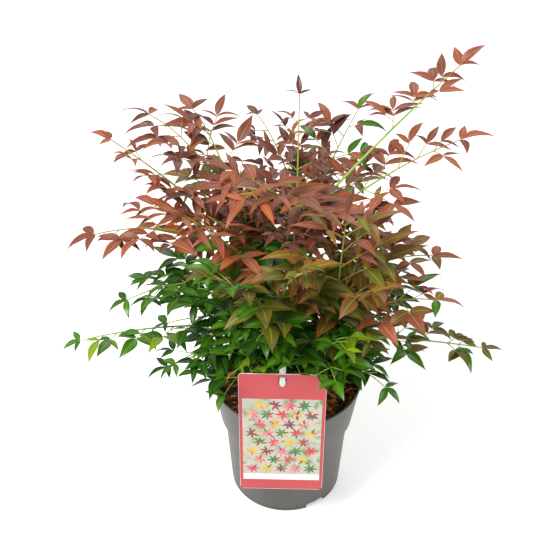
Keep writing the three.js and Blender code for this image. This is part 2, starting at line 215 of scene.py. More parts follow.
def apply_modifier(piece, kind, **settings):
    make_active(piece)
    modifier = piece.modifiers.new(kind.lower(), kind)
    for key, value in settings.items():
        setattr(modifier, key, value)
    bpy.ops.object.modifier_apply(modifier=modifier.name)


def join_all(parts):
    clear_selection()
    for part in parts:
        part.select_set(True)
    bpy.context.view_layer.objects.active = parts[0]
    bpy.ops.object.join()
    return parts[0]


# %% A finish whose colour wanders
DRIFT_LOW, DRIFT_SPAN = 0.3, 0.4  # the part of the noise's range that the tints are spread over


def wandering_finish(name, tints, scale, roughness, bump=0.0, bump_scale=0.0, stretch=(1, 1, 1)):
    """A surface whose colour drifts between tints, with a fine relief."""
    finish, shader = new_finish(name, roughness)
    nodes = finish.node_tree.nodes
    links = finish.node_tree.links
    place = nodes.new("ShaderNodeTexCoord")
    mapping = nodes.new("ShaderNodeMapping")
    mapping.inputs["Scale"].default_value = stretch
    links.new(place.outputs["Object"], mapping.inputs["Vector"])

    def noise(noise_scale, detail):
        texture = nodes.new("ShaderNodeTexNoise")
        texture.inputs["Scale"].default_value = noise_scale
        texture.inputs["Detail"].default_value = detail
        links.new(mapping.outputs["Vector"], texture.inputs["Vector"])
        return texture.outputs["Fac"]

    ramp = nodes.new("ShaderNodeValToRGB")
    stops = ramp.color_ramp.elements
    stops[0].position = DRIFT_LOW
    stops[1].position = DRIFT_LOW + DRIFT_SPAN
    for count in range(1, len(tints) - 1):
        stops.new(DRIFT_LOW + DRIFT_SPAN * count / (len(tints) - 1))
    for stop, tint in zip(stops, tints):
        stop.color = paint(tint)
    links.new(noise(scale, 5.0), ramp.inputs["Fac"])
    links.new(ramp.outputs["Color"], shader.inputs["Base Color"])
    if bump:
        relief = nodes.new("ShaderNodeBump")
        relief.inputs["Strength"].default_value = bump
        relief.inputs["Distance"].default_value = 0.001
        links.new(noise(bump_scale, 4.0), relief.inputs["Height"])
        links.new(relief.outputs["Normal"], shader.inputs["Normal"])
    return finish


# %% [markdown]
# ## The nursery pot
# A nursery pot is blown or moulded from thin dark plastic. It has a wide collar under the rim so
# that pots stack, a rolled lip that stiffens the edge, and notches round its foot that let water
# out. Its wall is a profile turned about the pot's axis. Here a disc is extruded and scaled ring
# by ring, up the outside, over the lip and down the inside, which leaves one closed wall.


# %% Turning a profile
def turned(profile, sides):
    """Extrudes a disc through (radius, height) rings, in millimetres, into a closed shape."""
    radius, height = profile[0]
    clear_selection()
    bpy.ops.mesh.primitive_circle_add(
        vertices=sides,
        radius=radius * MM,
        fill_type="NGON",
        location=(0.0, 0.0, height * MM),
    )
    piece = bpy.context.object
    bpy.ops.object.transform_apply(location=True)
    bpy.ops.object.mode_set(mode="EDIT")
    bpy.ops.mesh.select_all(action="SELECT")
    for next_radius, next_height in profile[1:]:
        rise = (next_height - height) * MM
        bpy.ops.mesh.extrude_region_move(TRANSFORM_OT_translate={"value": (0.0, 0.0, rise)})
        share = next_radius / radius
        centre = (0.0, 0.0, next_height * MM)
        bpy.ops.transform.resize(value=(share, share, 1.0), center_override=centre)
        radius, height = next_radius, next_height
    turn_outward(piece)
    return piece


# %% Pot wall
POT_PROFILE = [
    (71.4, 0.0), (72.2, 0.3), (72.6, 1.2), (72.8, 4.6), (72.4, 5.2), (72.9, 6.0),
    (79.7, 111.0), (80.1, 112.6), (81.2, 113.8), (84.2, 115.6), (85.2, 116.6), (85.6, 118.2),
    (93.9, 174.2), (94.6, 174.8), (95.0, 176.0), (94.8, 177.3), (94.0, 178.0),
    (93.2, 178.0), (92.6, 177.4), (92.3, 176.0), (84.0, 118.4), (83.2, 117.2),
    (79.2, 114.2), (78.4, 112.4), (71.2, 4.0), (70.6, 2.6), (69.0, 1.7),
]
pot = turned(POT_PROFILE, 144)
print("pot rings:", len(POT_PROFILE))

# %% Foot notches
NOTCHES = 3
FIRST_NOTCH = math.radians(-56)
NOTCH = {"radius": 72.5, "size": (18, 28, 16), "rounding": 2.5}
for turn in range(NOTCHES):
    azimuth = FIRST_NOTCH + FULL_TURN * turn / NOTCHES
    middle = Vector((math.cos(azimuth), math.sin(azimuth), 0.0)) * (NOTCH["radius"] * MM)
    clear_selection()
    bpy.ops.mesh.primitive_cube_add(size=1.0, location=middle, rotation=(0.0, 0.0, azimuth))
    cutter = bpy.context.object
    cutter.scale = [side * MM for side in NOTCH["size"]]
    bpy.ops.object.transform_apply(location=True, rotation=True, scale=True)
    apply_modifier(cutter, "BEVEL", width=NOTCH["rounding"] * MM, segments=3)
    apply_modifier(pot, "BOOLEAN", operation="DIFFERENCE", object=cutter, solver="EXACT")
    bpy.data.objects.remove(cutter)
print("notches cut:", NOTCHES)

# %% Pot plastic
POT_GREYS = ("3c3b36", "454340", "4b4943")
pot_finish = wandering_finish("pot_plastic", POT_GREYS, 9.0, 0.42, 0.25, 900.0)
pot.data.materials.append(pot_finish)
smooth_sides(pot, 28)
hand_over(pot, "nursery_pot", "pot_plastic", "pot")

# %% [markdown]
# ## The bark mix
# The pot is filled with composted bark: dark crumbs with reddish brown flakes and long fibres on
# top. The solid filling keeps its CAD shape and gets a crumbly finish. The flakes are three small
# blocks, roughed up and copied many times into joined meshes, because that costs few
# faces. They lie flat with a small tilt.

# %% Filling
MIX_BROWNS = ("120a06", "2a170c", "4a2a15")
mix_finish = wandering_finish("bark_crumbs", MIX_BROWNS, 160.0, 0.95, 1.0, 420.0)
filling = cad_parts["potting_mix"]
filling.data.materials.clear()
filling.data.materials.append(mix_finish)


def mix_level(x, y):
    """Height of the filling's surface, in millimetres."""
    radius = math.hypot(x, y)
    level = float(np.interp(radius, (42, 58, 76, 87), (160, 159, 158, 157)))
    if 43 < radius < 80:
        ripple = math.sin(x * 0.31 + 1) * math.cos(y * 0.27) + 0.5 * math.sin(x * 0.13 - y * 0.41)
        level += 2.2 * ripple
    return level


# %% One flake
def rough_flake(seed, size):
    """A block with worn edges and uneven sides."""
    clear_selection()
    bpy.ops.mesh.primitive_cube_add(size=1.0)
    flake = bpy.context.object
    flake.scale = size
    bpy.ops.object.transform_apply(scale=True)
    bpy.ops.object.mode_set(mode="EDIT")
    bpy.ops.mesh.select_all(action="SELECT")
    bpy.ops.mesh.bevel(offset=0.14 * min(size), segments=1)
    bpy.ops.mesh.select_all(action="SELECT")
    bpy.ops.transform.vertex_random(offset=0.25 * min(size), seed=seed)
    bpy.ops.object.mode_set(mode="OBJECT")
    corners = np.array([corner.co[:] for corner in flake.data.vertices])
    faces = [list(face.vertices) for face in flake.data.polygons]
    bpy.data.objects.remove(flake)
    return corners, faces


FLAKES = [
    rough_flake(1, (1.0, 0.42, 0.2)),
    rough_flake(2, (1.0, 0.6, 0.16)),
    rough_flake(3, (1.0, 0.14, 0.09)),
]
print("flake faces:", [len(faces) for corners, faces in FLAKES])


# %% Joined meshes from arrays
def gathered(parts):
    """Corners, faces and tags of many small shapes, from millimetres to one set in metres."""
    corners, faces, tags = [], [], []
    for part_corners, part_faces, part_tags in parts:
        start = len(corners)
        corners += [corner * MM for corner in part_corners]
        faces += [[start + index for index in face] for face in part_faces]
        tags += part_tags
    return corners, faces, tags


def joined_piece(name, corners, faces, tags, finishes):
    """One mesh from arrays: corners, faces as index lists, and a finish number for each face."""
    mesh = bpy.data.meshes.new(name)
    mesh.from_pydata(corners, [], faces)
    for finish in finishes:
        mesh.materials.append(finish)
    mesh.polygons.foreach_set("material_index", tags)
    mesh.update()
    piece = bpy.data.objects.new(name, mesh)
    bpy.context.scene.collection.objects.link(piece)
    return piece


# %% Scattering the flakes
FLAKE_COUNT = 1400
FLAKE_REACH = 86.0
WALL_REACH = 89.0
FLAKE_TINTS = {
    "dark": (("24130a", "42230f"), 0.9),
    "brown": (("6e3a16", "945022"), 0.85),
    "orange": (("a65e26", "d08c46"), 0.8),
}
FLAKE_FINISHES = [
    wandering_finish(f"flake_{kind}", tints, 300.0, roughness, 0.6, 900.0)
    for kind, (tints, roughness) in FLAKE_TINTS.items()
]


def level_turn(angle):
    """A rotation about the upright axis, as a matrix."""
    return np.array([
        [math.cos(angle), -math.sin(angle), 0],
        [math.sin(angle), math.cos(angle), 0],
        [0, 0, 1],
    ])


draw = np.random.default_rng(41)
flake_parts = []
for count in range(FLAKE_COUNT):
    radius = FLAKE_REACH * math.sqrt(draw.uniform(0.0, 1.0))
    azimuth = draw.uniform(0.0, FULL_TURN)
    kind = int(draw.choice(3, p=(0.25, 0.25, 0.5)))
    corners, faces = FLAKES[kind]
    size = draw.uniform(5.0, 13.0) * (2.0 if kind == 2 else 1.0)
    size = min(size, 2 * (WALL_REACH - radius) + 6)
    turn = draw.uniform(0, FULL_TURN)
    tilted = Vector((draw.normal(0, 0.16), draw.normal(0, 0.2), 1))
    tilt = np.array(Vector((0, 0, 1)).rotation_difference(tilted).to_matrix())
    x, y = radius * math.cos(azimuth), radius * math.sin(azimuth)
    middle = np.array([x, y, mix_level(x, y) + draw.uniform(0.2, 1.9)])
    placed = corners * size @ (tilt @ level_turn(turn)).T + middle
    flake_parts.append((placed, faces, [int(draw.choice(3, p=(0.34, 0.34, 0.32)))] * len(faces)))
flakes = joined_piece("bark_flakes", *gathered(flake_parts), FLAKE_FINISHES)
hand_over(flakes, "bark_flakes", "bark_mix")

# %% [markdown]
# ## The label
# Such a plant is sold with a printed card that hangs on a white stake. The card is a thin slab
# with round corners and a slot near its top edge. Its print is generic: a coral frame with a
# deep header, a panel with staggered rows of leaf rosettes, and a white strip under the panel.
# The bands are cut into the front face with bisecting planes, so each gets its own ink.

# %% Card
CARD = {
    "x": -5.0, "width": 102.0, "low": 70.5, "high": 265.5, "front": -96.1, "back": -95.3, "corner": 5.0,
}
SLOT = {"middle": 255.5, "width": 9.0, "height": 12.0}


def block(x, y, z, width, depth, height):
    """A box about a middle, its sizes along X, Y and Z, in millimetres."""
    clear_selection()
    bpy.ops.mesh.primitive_cube_add(size=1.0, location=(x * MM, y * MM, z * MM))
    box = bpy.context.object
    box.scale = (width * MM, depth * MM, height * MM)
    bpy.ops.object.transform_apply(location=True, rotation=True, scale=True)
    return box


card_middle = (CARD["x"], (CARD["front"] + CARD["back"]) / 2, (CARD["low"] + CARD["high"]) / 2)
card = block(*card_middle, CARD["width"], CARD["back"] - CARD["front"], CARD["high"] - CARD["low"])
edit(card)
pick(card, "EDGE", runs_along(1, 0.5 * MM))
bpy.ops.mesh.bevel(offset=CARD["corner"] * MM, segments=8, profile=0.5)
bpy.ops.object.mode_set(mode="OBJECT")
slot_cutter = block(CARD["x"], card_middle[1], SLOT["middle"], SLOT["width"], 6.0, SLOT["height"])
apply_modifier(slot_cutter, "BEVEL", width=1.0 * MM, segments=3)
apply_modifier(card, "BOOLEAN", operation="DIFFERENCE", object=slot_cutter, solver="EXACT")
bpy.data.objects.remove(slot_cutter)

# %% Print bands
WHITE_INK, CORAL_INK, PANEL_INK = range(3)
BANDS = {
    "header": (226.0, 265.5, CORAL_INK),
    "picture": (98.0, 226.0, PANEL_INK),
    "strip": (88.0, 98.0, WHITE_INK),
    "foot": (70.5, 88.0, CORAL_INK),
}
MARGIN = 0.3
SIDE = 4.0
HALF_CARD = CARD["width"] / 2
edit(card)
levels = [BANDS[name][0] for name in ("header", "picture", "strip")]
levels += [CARD["high"] - MARGIN, CARD["low"] + MARGIN]
cuts = [((0, 0, z), (0, 0, 1)) for z in levels]
for reach in (HALF_CARD - MARGIN, HALF_CARD - SIDE):
    cuts += [((CARD["x"] + side * reach, 0, 0), (1, 0, 0)) for side in (-1, 1)]
for place, normal in cuts:
    bpy.ops.mesh.select_all(action="SELECT")
    bpy.ops.mesh.bisect(plane_co=[c * MM for c in place], plane_no=normal)
bpy.ops.object.mode_set(mode="OBJECT")

# %% Card inks
coral = wandering_finish("coral_ink", ("b4383c", "bc4044"), 14.0, 0.45, 0.05, 1500.0)
card_white = wandering_finish("white_ink", ("e4e2de", "eceae6"), 20.0, 0.45, 0.05, 1500.0)
panel = wandering_finish("panel_ink", ("4a7a3c", "a5ad92", "b8b2a4", "bdb8ae", "5a8a4a"), 70.0, 0.45)
for finish in (card_white, coral, panel):
    card.data.materials.append(finish)


def ink_of(centre):
    x, z = abs(centre.x / MM - CARD["x"]), centre.z / MM
    if x > HALF_CARD - MARGIN or z > CARD["high"] - MARGIN or z < CARD["low"] + MARGIN:
        return WHITE_INK
    if x > HALF_CARD - SIDE:
        return CORAL_INK
    return next(ink for low, high, ink in BANDS.values() if low <= z <= high)


for face in card.data.polygons:
    on_front = face.normal.y < -0.9
    face.material_index = ink_of(face.center) if on_front else WHITE_INK
hand_over(card, "label_card_printed", "printed_card", "label_card")

# %% One printed leaf
PRINT_TINTS = {
    "red": ("b82430", "da4650"),
    "pink": ("c84868", "e68090"),
    "yellow": ("b8962a", "d8c04a"),
    "green": ("1f5f28", "4c8c3c"),
    "plum": ("6a2434", "8c3c4a"),
}
PICTURE_INKS = [wandering_finish(f"print_{name}", tints, 60.0, 0.4) for name, tints in PRINT_TINTS.items()]
PRINT_OUTLINE = [(0, 0), (0.3, 0.15), (0.6, 0.13), (1, 0), (0.6, -0.13), (0.3, -0.15)]
PRINT_DEPTH = 0.05
PRINT_LAYER = 0.0006  # each leaf lies a little above the last, so that no two faces coincide
PRINT_ROOT = 0.1
printed = []


def print_leaf(x, z, angle, length, ink):
    """A pointed oval, a hair's breadth proud of the card."""
    count = len(PRINT_OUTLINE)
    level = CARD["front"] - PRINT_DEPTH - PRINT_LAYER * len(printed)
    corners = []
    for depth in (level, CARD["front"] + PRINT_ROOT):
        for along, across in PRINT_OUTLINE:
            px = x + length * (along * math.cos(angle) - across * math.sin(angle))
            pz = z + length * (along * math.sin(angle) + across * math.cos(angle))
            corners.append(np.array([px, depth, pz]))
    faces = [list(range(count)), list(range(2 * count - 1, count - 1, -1))]
    for k in range(count):
        after = (k + 1) % count
        faces.append([after, k, count + k, count + after])
    printed.append((corners, faces, [ink] * len(faces)))


# %% Rows of leaf rosettes
ROSETTE = {"leaves": 7, "reach": (8.2, 10.2), "rows": 8, "across": 17.6, "up": 15.4, "own_ink": 0.7}
draw = np.random.default_rng(7)


def print_rosette(x, z, turn, ink):
    """A star of leaves round one point, most of them in one ink."""
    for count in range(ROSETTE["leaves"]):
        angle = turn + FULL_TURN * count / ROSETTE["leaves"]
        leaf_ink = ink if draw.uniform() < ROSETTE["own_ink"] else int(draw.integers(len(PICTURE_INKS)))
        print_leaf(x, z, angle, draw.uniform(*ROSETTE["reach"]), leaf_ink)


for row in range(ROSETTE["rows"]):
    columns = 5 - row % 2
    for column in range(columns):
        x = CARD["x"] + ROSETTE["across"] * (column - (columns - 1) / 2)
        z = BANDS["picture"][0] + ROSETTE["up"] * (row + 0.66)
        print_rosette(x, z, 0.5 * row + 0.9 * column, (row + 2 * column) % len(PICTURE_INKS))
picture = joined_piece("label_picture", *gathered(printed), PICTURE_INKS)
hand_over(picture, "label_picture", "printed_card")
print("printed leaves:", len(printed))

# %% [markdown]
# ## The stake
# The stake is one strip of white plastic pushed into the mix. It leans out to the card, passes
# through the slot, and ends in a rounded tongue in front. Behind the card a ribbed tip stands up
# above the top edge. The strip is a bar extruded along its side outline, with bevelled edges.

# %% Stake strip
STAKE_PATH = [(-66.8, 100.0), (-66.8, 166.0), (-94.2, 249.0), (-94.2, 277.0)]
STAKE_WIDTH = 6.6
STAKE_THICKNESS = 1.4


def strip(path, width, thickness):
    """A flat bar that follows (y, z) points, extruded from one small box face."""
    first = 1.0
    y, z = path[0]
    bar = block(CARD["x"], y, z + first / 2, width, thickness, first)
    edit(bar)
    pick(bar, "FACE", lambda face: face.normal.z > 0.9)
    z += first
    for next_y, next_z in path[1:]:
        step = (0.0, (next_y - y) * MM, (next_z - z) * MM)
        bpy.ops.mesh.extrude_region_move(TRANSFORM_OT_translate={"value": step})
        y, z = next_y, next_z
    bpy.ops.object.mode_set(mode="OBJECT")
    apply_modifier(bar, "BEVEL", width=0.35 * MM, segments=2, limit_method="ANGLE")
    return bar


stake_parts = [strip(STAKE_PATH, STAKE_WIDTH, STAKE_THICKNESS)]

# %% Ribs, bar and tongue
RIBS = {"count": 5, "y": -94.9, "first": 267.0, "apart": 2.2, "radius": 0.8, "length": 7.4}
TONGUE = {"y": -97.2, "z": 254.2, "thickness": 1.6, "half_width": 3.7, "half_height": 6.8}


def rod(sides, radius, length, y, z, rotation):
    """A cylinder about a point in the stake's middle plane."""
    clear_selection()
    place = (CARD["x"] * MM, y * MM, z * MM)
    bpy.ops.mesh.primitive_cylinder_add(
        vertices=sides, radius=radius * MM, depth=length * MM, location=place, rotation=rotation
    )
    return bpy.context.object


for level in range(RIBS["count"]):
    z = RIBS["first"] + RIBS["apart"] * level
    stake_parts.append(rod(10, RIBS["radius"], RIBS["length"], RIBS["y"], z, (0.0, math.pi / 2, 0.0)))
stake_parts.append(block(CARD["x"], -95.7, 260.4, STAKE_WIDTH, 4.0, 1.6))
tongue = rod(32, 1.0, TONGUE["thickness"], TONGUE["y"], TONGUE["z"], (math.pi / 2, 0.0, 0.0))
tongue.scale = (TONGUE["half_width"], TONGUE["half_height"], 1.0)
bpy.ops.object.transform_apply(location=True, rotation=True, scale=True)
apply_modifier(tongue, "BEVEL", width=0.4 * MM, segments=2, limit_method="ANGLE")
stake_parts.append(tongue)
stake = join_all(stake_parts)
stake.data.materials.append(wandering_finish("stake_white", ("c2c4be", "d2d4ce"), 40.0, 0.4, 0.1, 900.0))
smooth_sides(stake, 35)
hand_over(stake, "label_stake_ribbed", "white_plastic", "label_stake")

# %% [markdown]
# ## Canes and arcs
# The canes are the shrub's stems. Each follows a simple arc from its foot in the mix to its tip,
# and each compound leaf follows an arc of its own from a cane to the tip of its spray. The names
# and numbers are the CAD model's, in millimetres. Quadratic arcs need only a start, a bend and
# an end, so the whole plant can be written down as a short plan.

# %% Plan of the plant
GAP = 0.3
MIX_TOP = 160.0
# Radius of each kind of limb at its foot and at its tip.
CANE = (4.2, 2.4)
STALK = (1.8, 1.3)
STEM = (1.2, 0.8)
TWIG = (0.7, 0.42)
FINER_TWIG = (0.5, 0.35)
# Each cane: its foot in the mix and its tip.
CANES = {
    "middle": ((2, 8), (8, 30, 392)),
    "right": ((20, 4), (66, 22, 332)),
    "back": ((6, 28), (18, 92, 340)),
    "left": ((-22, 8), (-54, 34, 384)),
    "front": ((-4, -20), (-14, -62, 334)),
    "side": ((20, -20), (54, -52, 326)),
}
# Each spray: its cane, how far up it leaves, azimuth, reach and height of its tip, its bow, the
# bare share of its arc, and the tints of its leaflets.
SPRAYS = {
    "crown_right_long": ("middle", 0.95, 26, 232, 578, 16, 0.5, "mauve russet"),
    "crown_right_low": ("middle", 0.88, 10, 216, 508, 38, 0.2, "mauve russet"),
    "crown_back_right": ("middle", 0.84, 60, 186, 492, 30, 0.3, "maroon russet leaf"),
    "crown_back": ("middle", 1, 86, 136, 528, 14, 0, "maroon mauve"),
    "crown_back_left": ("back", 1, 106, 196, 456, 60, 0, "maroon russet"),
    "crown_left_high": ("left", 0.91, 133, 190, 488, 70, 0.3, "mauve maroon"),
    "crown_left": ("left", 1, 151, 212, 496, 62, 0, "maroon mauve"),
    "crown_left_long": ("left", 0.84, 170, 226, 506, 22, 0.4, "mauve russet"),
    "crown_front_left": ("left", 0.72, 206, 152, 462, 40, 0, "russet mauve flame"),
    "crown_front": ("middle", 0.98, 236, 114, 464, 96, 0, "mauve russet flame"),
    "crown_front_right": ("side", 1, 306, 104, 504, 30, 0, "bronze mauve olive"),
    "middle_right_high": ("right", 1, 4, 105, 440, 20, 0, "mauve bronze"),
    "middle_right": ("right", 0.85, 356, 194, 370, 44, 0, "bronze russet"),
    "middle_front_right": ("side", 0.7, 336, 206, 358, 60, 0, "bronze leaf russet"),
    "middle_front_bright": ("side", 0.84, 308, 162, 402, 46, 0, "bronze olive"),
    "middle_front": ("front", 0.92, 277, 142, 444, 44, 0, "olive bronze"),
    "middle_front_left": ("front", 0.82, 228, 156, 416, 46, 0, "leaf olive"),
    "middle_left": ("left", 0.8, 184, 250, 388, 62, 0.3, "mauve russet"),
    "middle_back_left": ("back", 0.8, 145, 184, 410, 48, 0.3, "bronze leaf"),
    "middle_back_right": ("middle", 0.62, 66, 226, 380, 48, 0.34, "bronze olive"),
    "middle_back": ("back", 0.68, 104, 236, 352, 50, 0.28, "olive leaf"),
    "low_right": ("right", 0.44, 357, 266, 234, 14, 0.36, "bronze olive leaf"),
    "low_front_right": ("side", 0.42, 324, 168, 220, 50, 0, "leaf deep"),
    "low_front_bright": ("side", 0.56, 296, 160, 326, 50, 0, "leaf lime"),
    "low_front": ("front", 0.46, 280, 132, 266, 44, 0, "leaf deep"),
    "low_front_dark": ("front", 0.62, 256, 158, 346, 50, 0, "leaf deep"),
    "low_front_left": ("front", 0.36, 236, 150, 258, 50, 0, "leaf deep lime"),
    "low_left_near": ("left", 0.27, 212, 176, 254, 44, 0.24, "leaf deep"),
    "low_left_high": ("left", 0.58, 196, 216, 322, 60, 0.24, "leaf deep"),
    "low_left": ("left", 0.36, 187, 280, 246, 34, 0.38, "leaf lime"),
    "low_back_left": ("back", 0.46, 152, 240, 230, 64, 0.36, "deep leaf"),
    "low_back": ("back", 0.34, 96, 236, 222, 64, 0.36, "deep leaf"),
    "low_back_right": ("right", 0.3, 44, 236, 222, 66, 0.36, "deep leaf"),
}
# How widely the side twigs of some sprays spread, as a share of the others' spread.
SPREAD = {
    "crown_right_long": 0.6,
    "crown_right_low": 0.85,
    "crown_left_long": 0.75,
    "crown_back": 0.7,
    "low_left": 0.6,
    "low_right": 0.7,
}
UP = Vector((0.0, 0.0, 1.0))
print("canes:", len(CANES), "sprays:", len(SPRAYS))


# %% Arcs
def between(pair, share):
    return pair[0] + (pair[1] - pair[0]) * share


class Arc:
    """A quadratic curve: start, bend, end."""

    def __init__(self, start, bend, end):
        self.start, self.bend, self.end = start, bend, end

    def point(self, t):
        return self.start * (1 - t) ** 2 + self.bend * (2 * t * (1 - t)) + self.end * t ** 2

    def tangent(self, t):
        return ((self.bend - self.start) * (1 - t) + (self.end - self.bend) * t).normalized()

    def length(self):
        knots = [self.point(step / 40) for step in range(41)]
        return sum((b - a).length for a, b in zip(knots, knots[1:]))


def around(azimuth, reach, height):
    """A place at an angle and a distance from the pot's axis."""
    return Vector((reach * math.cos(azimuth), reach * math.sin(azimuth), height))


def cane_arc(name):
    """A cane stands up steeply and leans out near its tip."""
    foot, tip = CANES[name]
    start = Vector((foot[0], foot[1], MIX_TOP - CANE[0]))
    end = Vector(tip)
    bend = start.lerp(end, 0.5)
    bend.x = between((foot[0], tip[0]), 0.3)
    bend.y = between((foot[1], tip[1]), 0.3)
    return Arc(start, bend, end)


def spray_arc(name):
    cane, at, azimuth, reach, height, bow, bare, tints = SPRAYS[name]
    start = cane_arc(cane).point(at)
    end = around(math.radians(azimuth), reach, height)
    return Arc(start, start.lerp(end, 0.5) + UP * bow, end)


# %% [markdown]
# ## Bark and stalk skin
# The cane of a heavenly bamboo is ringed with the scars and torn sheaths of old leaf stalks, and
# fine furrows run up between them. A cylinder is cut into many rings, and every ring is set on
# the arc with a radius that swells at each scar. The leaf stalks are thinner and smooth, with a
# clasping sheath where they leave the cane and a shallow groove along their upper side.


# %% A limb along an arc
def frame_at(arc, t):
    """The level direction across an arc and its upper side."""
    along = arc.tangent(t)
    across = along.cross(UP).normalized()
    return along, across, across.cross(along).normalized()


def limb(arc, start, end, sides, rings, radius_at):
    """A cylinder cut into rings and set on an arc; radius_at(share, angle) is in millimetres."""
    clear_selection()
    bpy.ops.mesh.primitive_cylinder_add(vertices=sides, radius=1.0, depth=1.0, end_fill_type="NGON")
    piece = bpy.context.object
    edit(piece)
    pick(piece, "EDGE", runs_along(2, 0.5))
    bpy.ops.mesh.subdivide(number_cuts=rings)
    bpy.ops.object.mode_set(mode="OBJECT")
    for corner in piece.data.vertices:
        share = corner.co.z + 0.5
        t = start + (end - start) * share
        along, across, upper = frame_at(arc, t)
        angle = math.atan2(corner.co.y, corner.co.x)
        radius = radius_at(share, angle)
        offset = across * (radius * math.cos(angle)) + upper * (radius * math.sin(angle))
        corner.co = (arc.point(t) + offset) * MM
    turn_outward(piece)
    return piece


# %% Canes
SCAR_SPACING = 24.0
CANE_TINTS = ("4d4a26", "6f6a3a", "8a7d4a", "5d3f28")


def cane_radius(length, phase):
    """The cane's taper, with a ridge at each scar, a worn sheath above it and fine furrows."""
    def radius_at(share, angle):
        up_cane = share * length
        from_scar = (up_cane + phase) % SCAR_SPACING
        swelling = 0.16 * math.exp(-((from_scar - 3) / 1.8) ** 2) + 0.08 * math.exp(-from_scar / 9)
        furrow = 0.035 * math.sin(6 * angle + 2.2 * math.sin(up_cane / 11 + phase))
        furrow += 0.02 * math.sin(11 * angle - up_cane / 6)
        return between(CANE, share) * (0.93 + swelling + furrow)
    return radius_at


cane_parts = []
for count, name in enumerate(CANES):
    arc = cane_arc(name)
    ground = (MIX_TOP + GAP - arc.start.z) / (arc.end.z - arc.start.z)
    cane_parts.append(limb(arc, ground, 1.0, 14, 70, cane_radius(arc.length(), 5.0 * count)))
canes = join_all(cane_parts)
cane_finish = wandering_finish("cane_bark", CANE_TINTS, 190.0, 0.75, 0.9, 700.0, (1.0, 1.0, 0.25))
canes.data.materials.append(cane_finish)
smooth_sides(canes, 60)
hand_over(canes, "canes", "cane_bark", *[f"cane_{name}" for name in CANES])


# %% Leaf stalks
def stalk_radius(length):
    """The stalk's taper, with a sheath at its foot, a groove above and a knuckle at its tip."""
    def radius_at(share, angle):
        sheath = 0.9 * math.exp(-share * length / 7)
        groove = -0.12 * math.exp(-((angle - math.pi / 2) / 0.5) ** 2)
        knuckle = 0.22 * math.exp(-((1 - share) * length / 2.5) ** 2)
        return between(STALK, share) * (1 + sheath * (1 + groove) + groove + knuckle)
    return radius_at


BARE_SHARES = {name: plan[6] for name, plan in SPRAYS.items() if plan[6]}
stalk_parts = []
for name, bare in BARE_SHARES.items():
    arc = spray_arc(name)
    stalk_parts.append(limb(arc, 0.0, bare, 10, 22, stalk_radius(arc.length() * bare)))
stalks = join_all(stalk_parts)
stalk_finish = wandering_finish("stalk_skin", ("6c9a2c", "8fb53c", "a9b548"), 26.0, 0.42, 0.3, 500.0)
stalks.data.materials.append(stalk_finish)
smooth_sides(stalks, 60)
hand_over(stalks, "leaf_stalks", "stalk_skin", *[f"stalk_{name}" for name in BARE_SHARES])

# %% [markdown]
# ## The growing rule
# A compound leaf has a stem with opposite pairs of side twigs, and each twig carries leaflets in
# opposite pairs with one at its tip. The CAD model grows three pairs of twigs on each stem from
# a seeded stream of numbers. The same streams are drawn again here, and then the rule goes on to
# finer twigs between them. Whatever would leave the plant's space, or would cut through a limb,
# the pot, the label or another leaflet, isn't grown.

# %% Seeded streams
WORD = 0xFFFFFFFF


def times(a, b):
    return (a * b) & WORD


def random_stream(seed):
    """A repeatable stream of numbers from 0 to 1."""
    state = [seed & WORD]

    def draw_next():
        state[0] = (state[0] + 0x6D2B79F5) & WORD
        t = times(state[0] ^ (state[0] >> 15), state[0] | 1)
        t ^= (t + times(t ^ (t >> 7), t | 61)) & WORD
        return ((t ^ (t >> 14)) & WORD) / 4294967296

    return draw_next


# %% Room to grow
CELL = 24.0
grid = {}
grown = []


def cells_of(low, high):
    ranges = [range(int(low[k] // CELL), int(high[k] // CELL) + 1) for k in range(3)]
    return [(x, y, z) for x in ranges[0] for y in ranges[1] for z in ranges[2]]


def solid_of(corners, faces):
    """What a clearance test needs: a box and a tree of faces."""
    corners = np.asarray(corners, float)
    tree = BVHTree.FromPolygons(corners.tolist(), faces)
    return {"low": corners.min(0), "high": corners.max(0), "tree": tree}


def take_room(solid, key):
    solid["key"] = key
    grown.append(solid)
    for cell in cells_of(solid["low"], solid["high"]):
        grid.setdefault(cell, []).append(len(grown) - 1)


def meet(one, other):
    if np.any(other["low"] > one["high"]) or np.any(other["high"] < one["low"]):
        return False
    return bool(one["tree"].overlap(other["tree"]))


def has_room(solid, may_meet):
    near = set()
    for cell in cells_of(solid["low"], solid["high"]):
        near.update(grid.get(cell, ()))
    others = (grown[index] for index in near)
    return not any(other["key"] not in may_meet and meet(solid, other) for other in others)


# %% What stands in the way already
hard_things = []
for name in ("pot", "potting_mix", "label_card", "label_stake"):
    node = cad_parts[name]
    corners = [corner.co[:] for corner in node.data.vertices]
    faces = [list(face.vertices) for face in node.data.polygons]
    hard_things.append(solid_of(np.array(corners) / MM, faces))
    take_room(hard_things[-1], name)


def hits_hard_thing(solid):
    return any(meet(solid, thing) for thing in hard_things)


def tube(arc, start, end, radii, rings, sides):
    """Corners and faces of a closed tapering tube along an arc."""
    corners, faces = [], []
    for ring in range(rings + 1):
        t = between((start, end), ring / rings)
        along, across, upper = frame_at(arc, t)
        centre = arc.point(t)
        radius = between(radii, ring / rings)
        for side in range(sides):
            angle = FULL_TURN * side / sides
            corners.append(centre + across * (radius * math.cos(angle)) + upper * (radius * math.sin(angle)))
    for ring in range(rings):
        for side in range(sides):
            a = ring * sides + side
            b = ring * sides + (side + 1) % sides
            faces.append([a, b, b + sides, a + sides])
    faces.append(list(range(sides - 1, -1, -1)))
    faces.append(list(range(rings * sides, (rings + 1) * sides)))
    return corners, faces


